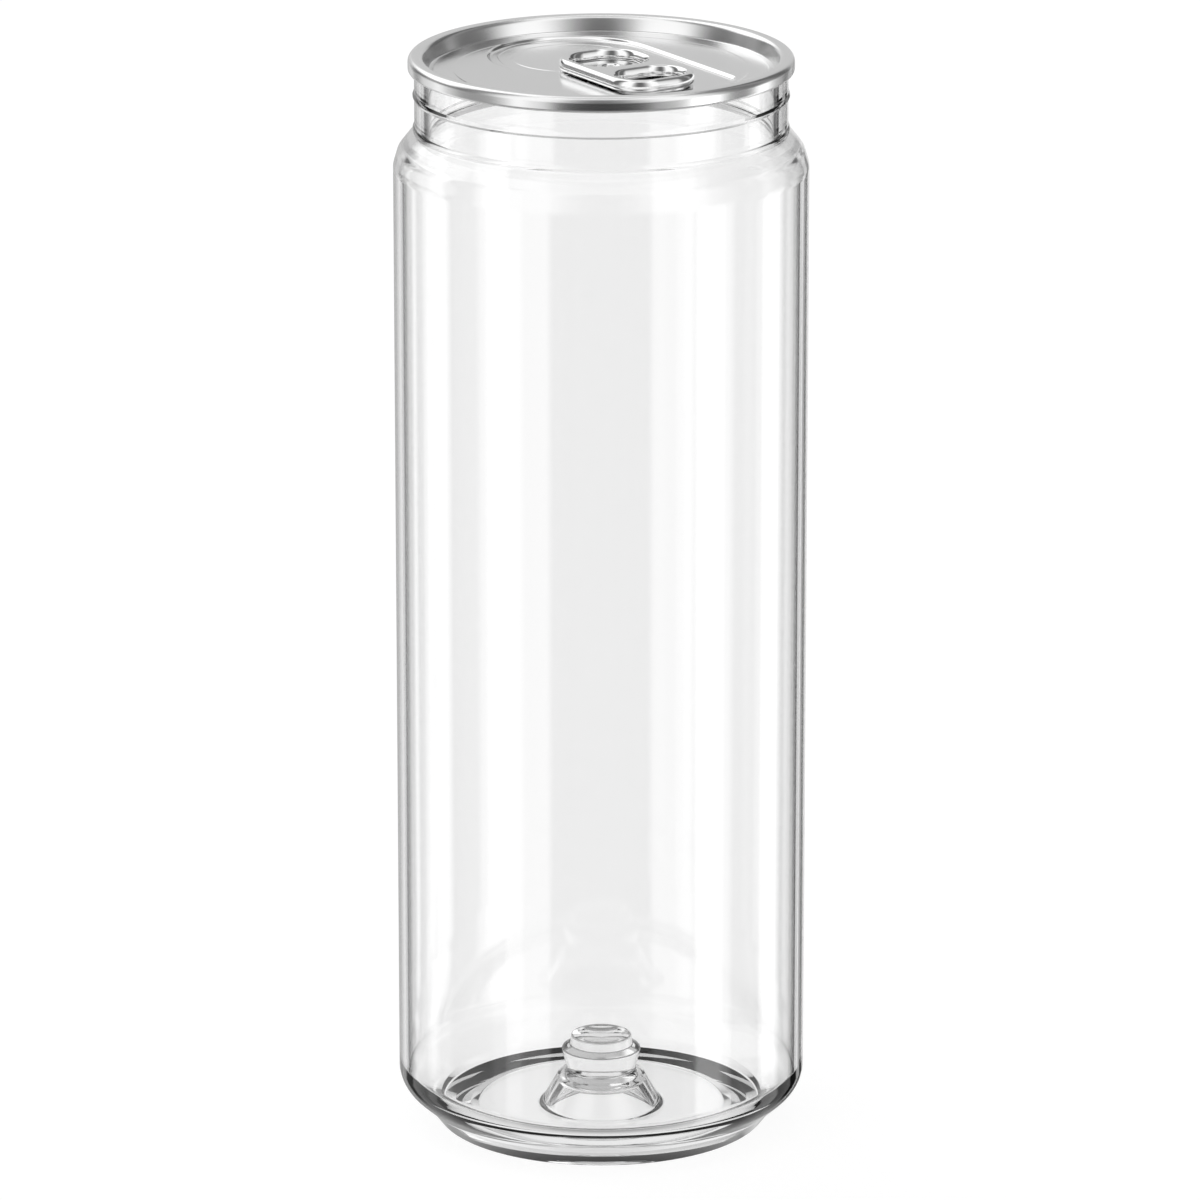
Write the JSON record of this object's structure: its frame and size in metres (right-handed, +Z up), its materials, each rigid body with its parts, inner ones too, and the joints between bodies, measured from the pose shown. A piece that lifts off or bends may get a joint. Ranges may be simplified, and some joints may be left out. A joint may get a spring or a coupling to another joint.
{
  "type": "clear plastic drink can",
  "caption": "Slim clear plastic drink can with straight walls, a stepped neck, a pushed-up base, a seamed aluminium end and a stay-on pull tab.",
  "frame": {"origin": "on the can's axis at the level of the foot's contact ring", "axes": "+Z up along the can's axis; the pull tab's finger end points to +X and -Y, the front right"},
  "size_m": [0.066, 0.066, 0.177],
  "materials": {
    "clear_plastic": "clear, colourless, moulded smooth",
    "end_metal": "bright rolled sheet, satin panel",
    "tab_metal": "bright pressed sheet"
  },
  "bodies": {
    "root": {"can_body": "clear_plastic", "can_end": "end_metal", "pull_tab": "tab_metal"}
  },
  "joints": []
}
